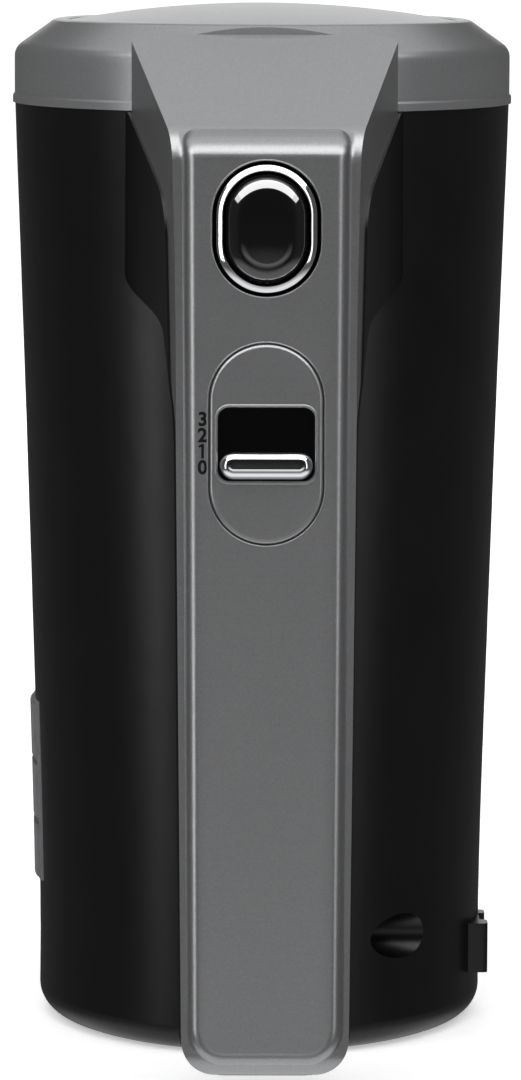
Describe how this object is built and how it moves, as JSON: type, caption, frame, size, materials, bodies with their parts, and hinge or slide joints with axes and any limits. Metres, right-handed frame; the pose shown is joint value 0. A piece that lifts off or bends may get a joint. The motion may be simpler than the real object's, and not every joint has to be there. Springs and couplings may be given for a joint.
{
  "type": "hand mixer",
  "caption": "Electric hand mixer standing on its heel: tapered round motor housing, open handle with eject button and thumb speed slider, two beater sockets.",
  "frame": {"origin": "on the motor housing's axis at the heel plane that the mixer stands on", "axes": "+Z from the heel to the nose, -Y to the handle, +Y out of the beater sockets, +X to the right seen from the handle side"},
  "size_m": [0.0944, 0.1455, 0.193],
  "materials": {
    "metallic_grey": "fine metallic grey paint, satin",
    "black_plastic": "satin moulded black",
    "gloss_black": "high gloss",
    "chrome": "polished",
    "grey_rubber": "matt",
    "black_rubber": "matt",
    "steel": "ground",
    "spring_steel": "bright wire",
    "zinc_screw": "zinc plated",
    "lamination": "stacked sheet edges",
    "copper_wire": "enamelled wire",
    "copper": "bright copper",
    "brass": "drawn",
    "bronze": "sintered, oily",
    "carbon": "pressed carbon",
    "frame_plastic": "glass-filled moulding",
    "nylon": "natural nylon",
    "fan_plastic": "moulded grey",
    "board_green": "solder mask",
    "capacitor_yellow": "box film capacitor"
  },
  "bodies": {
    "mixer_body": {"upper_housing": "black_plastic", "lower_housing": "black_plastic", "nose_ring": "metallic_grey", "nose_cap": "metallic_grey", "handle_cover": "metallic_grey", "slider_plate": "metallic_grey", "bowl_rest_pad": "grey_rubber", "cord_clip": "black_plastic", "cord_gland": "black_rubber", "housing_screws": "zinc_screw", "handle_screws": "zinc_screw", "eject_guide": "frame_plastic", "eject_spring": "spring_steel", "switch_base": "frame_plastic", "switch_contacts": "copper", "circuit_board": "board_green", "suppression_capacitor": "capacitor_yellow", "stator_core": "lamination", "field_coils": "copper_wire", "rear_bracket": "frame_plastic", "front_bracket": "frame_plastic", "rear_bearing": "bronze", "front_bearing": "bronze", "motor_screws": "zinc_screw", "brush_holders": "brass", "carbon_brushes": "carbon", "brush_springs": "spring_steel", "thrust_plate": "steel", "spindle_bushes": "bronze", "gearbox_base": "frame_plastic", "gearbox_cover": "frame_plastic", "gearbox_screws": "zinc_screw"},
    "armature": {"armature_shaft": "steel", "armature_core": "lamination", "armature_winding": "copper_wire", "commutator": "copper", "cooling_fan": "fan_plastic", "worm": "steel"},
    "left_spindle": {"drive_gear_left": "nylon", "spindle_left": "steel"},
    "right_spindle": {"drive_gear_right": "nylon", "spindle_right": "steel"},
    "eject_button": {"eject_cap": "gloss_black", "eject_ring": "chrome", "eject_plunger": "frame_plastic"},
    "speed_slider": {"slider_knob": "chrome", "slider_insert": "black_rubber", "switch_carriage": "gloss_black"}
  },
  "joints": [
    {"name": "armature_spin", "type": "hinge", "parent": "mixer_body", "child": "armature", "pos_m": [0, 0, 0.103], "axis": [0, 0, 1], "continuous": true},
    {"name": "right_spindle_spin", "type": "hinge", "parent": "mixer_body", "child": "right_spindle", "pos_m": [0.02, 0, 0.153], "axis": [0, 1, 0], "continuous": true},
    {"name": "left_spindle_spin", "type": "hinge", "parent": "mixer_body", "child": "left_spindle", "pos_m": [-0.02, 0, 0.153], "axis": [0, 1, 0], "continuous": true},
    {"name": "eject_press", "type": "slide", "parent": "mixer_body", "child": "eject_button", "axis": [0, 1, 0], "range_m": [0, 0.0055], "stiffness_N_per_m": 900, "springref_m": -0.004, "deforming": ["eject_spring"]},
    {"name": "speed_slide", "type": "slide", "parent": "mixer_body", "child": "speed_slider", "axis": [0, 0.109, 0.994], "range_m": [0, 0.0075]}
  ],
  "couplings": [
    {"joint": "right_spindle_spin", "follows": "armature_spin", "ratio": -0.083333},
    {"joint": "left_spindle_spin", "follows": "armature_spin", "ratio": 0.083333}
  ]
}
